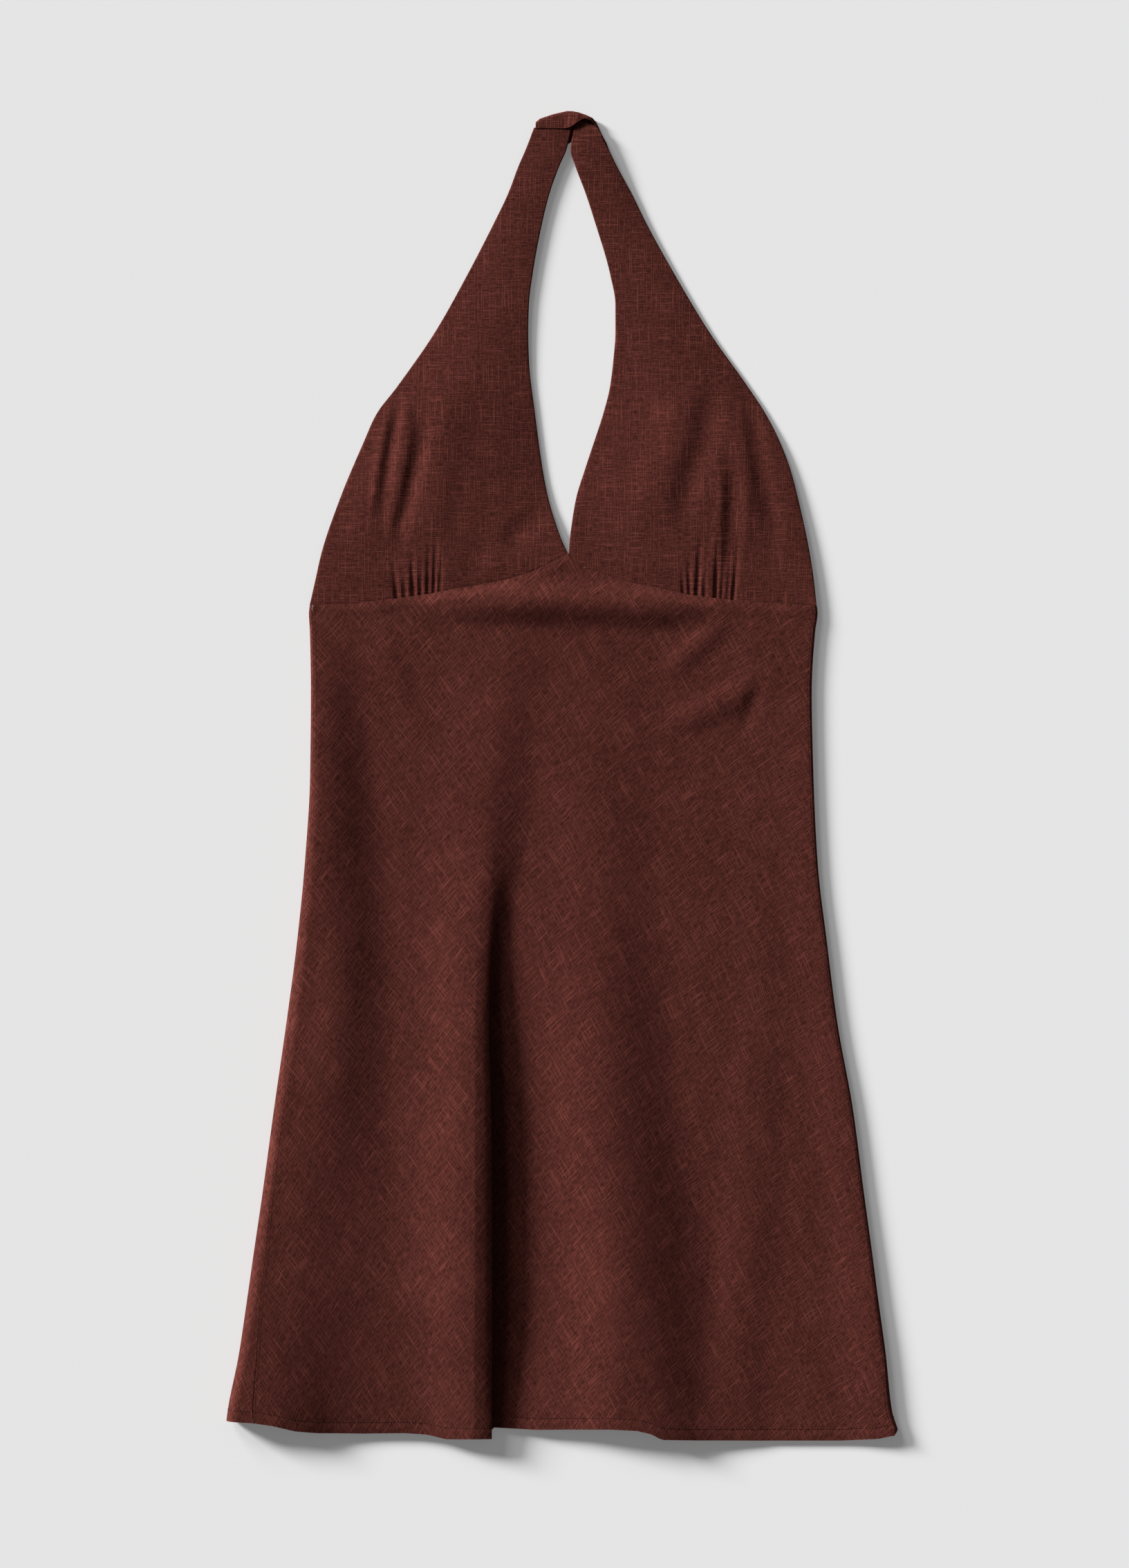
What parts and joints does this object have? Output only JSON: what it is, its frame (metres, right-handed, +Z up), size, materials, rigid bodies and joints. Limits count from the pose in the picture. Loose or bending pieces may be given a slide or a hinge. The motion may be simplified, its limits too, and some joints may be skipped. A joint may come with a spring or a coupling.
{
  "type": "halter-neck mini dress",
  "caption": "Flared sleeveless mini dress laid flat, with two gathered halter cups, a folded neck band and a wide skirt in soft vertical folds.",
  "frame": {"origin": "middle of the laid-out dress, on the surface it lies on", "axes": "+X to the dress's right as seen from above, +Y along the dress towards the neck band, +Z up off the surface, out of the front"},
  "size_m": [0.464, 0.92, 0.0181],
  "materials": {
    "linen": "matt slubby woven linen in dark reddish brown"
  },
  "bodies": {
    "root": {"front_skirt": "linen", "back_skirt": "linen", "left_cup": "linen", "right_cup": "linen", "neck_band": "linen", "neck_band_end": "linen"}
  },
  "joints": []
}
